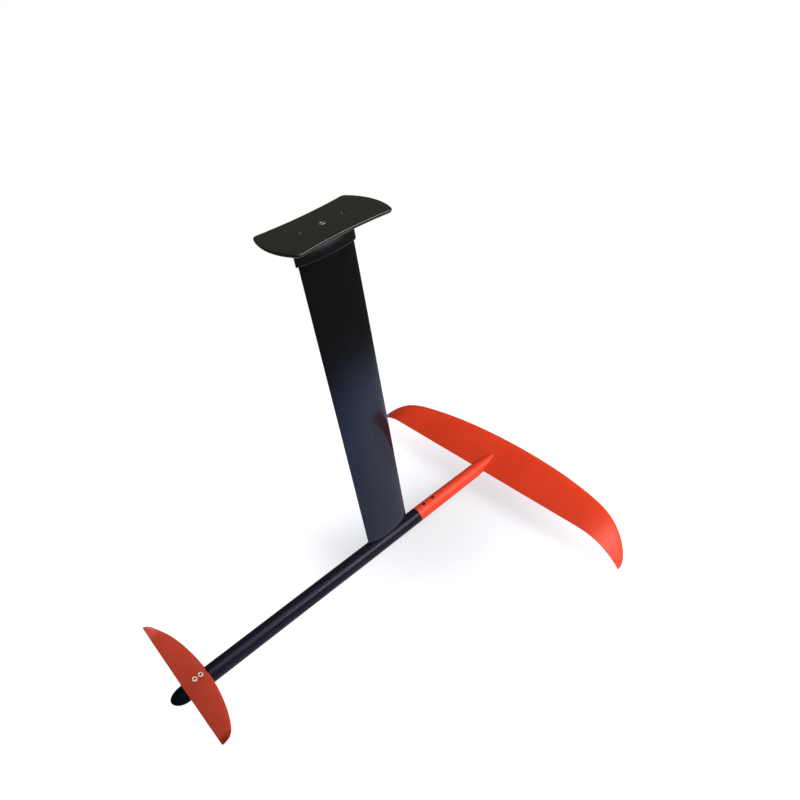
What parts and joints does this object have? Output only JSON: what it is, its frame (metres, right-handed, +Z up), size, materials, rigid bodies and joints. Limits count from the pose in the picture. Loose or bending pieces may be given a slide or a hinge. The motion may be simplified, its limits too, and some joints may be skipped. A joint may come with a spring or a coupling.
{
  "type": "hydrofoil",
  "caption": "Hydrofoil for a board: waisted top plate on a tall slim mast, tubular fuselage, broad front wing with drooped tips and a small rear wing with upturned tips.",
  "frame": {"origin": "under the middle of the foil's outer box, on the level of the front wing's tips, which are its lowest points", "axes": "+X forwards along the fuselage to the front wing, +Y to port, +Z up the mast to the top plate"},
  "size_m": [0.9986, 0.8018, 0.8251],
  "materials": {
    "plate_black": "black satin coating on aluminium",
    "collar_black": "black satin moulding",
    "mast_gloss_black": "gloss black lacquer over a moulded composite blade",
    "fuselage_gloss_black": "gloss black lacquer over a moulded composite tube",
    "tail_black": "black moulded end cap",
    "wing_orange": "orange-red gloss paint over a moulded composite wing",
    "rear_wing_orange": "orange-red gloss paint over a moulded composite wing",
    "stainless": "stainless steel",
    "screw_dark": "dull dark plated steel",
    "cup_steel": "bright satin stainless steel",
    "screw_black": "blackened stainless steel",
    "insert_brass": "turned brass"
  },
  "bodies": {
    "root": {"top_plate": "plate_black", "mast_collar": "collar_black", "mast": "mast_gloss_black", "fuselage": "fuselage_gloss_black", "tail_cone": "tail_black", "front_wing": "wing_orange", "rear_wing": "rear_wing_orange", "plate_screw_front": "screw_dark", "plate_screw_centre": "stainless", "plate_screw_rear": "screw_dark", "mast_head_insert_front": "insert_brass", "mast_head_insert_centre": "insert_brass", "mast_head_insert_rear": "insert_brass", "foot_screw_front": "stainless", "foot_screw_rear": "stainless", "foot_washer_front": "stainless", "foot_washer_rear": "stainless", "mast_foot_insert_front": "insert_brass", "mast_foot_insert_rear": "insert_brass", "stem_screw_front": "screw_black", "stem_screw_rear": "screw_black", "stem_insert_front": "insert_brass", "stem_insert_rear": "insert_brass", "rear_wing_screw_front": "cup_steel", "rear_wing_screw_rear": "cup_steel", "rear_wing_washer_front": "cup_steel", "rear_wing_washer_rear": "cup_steel", "rear_wing_insert_front": "insert_brass", "rear_wing_insert_rear": "insert_brass"}
  },
  "joints": []
}
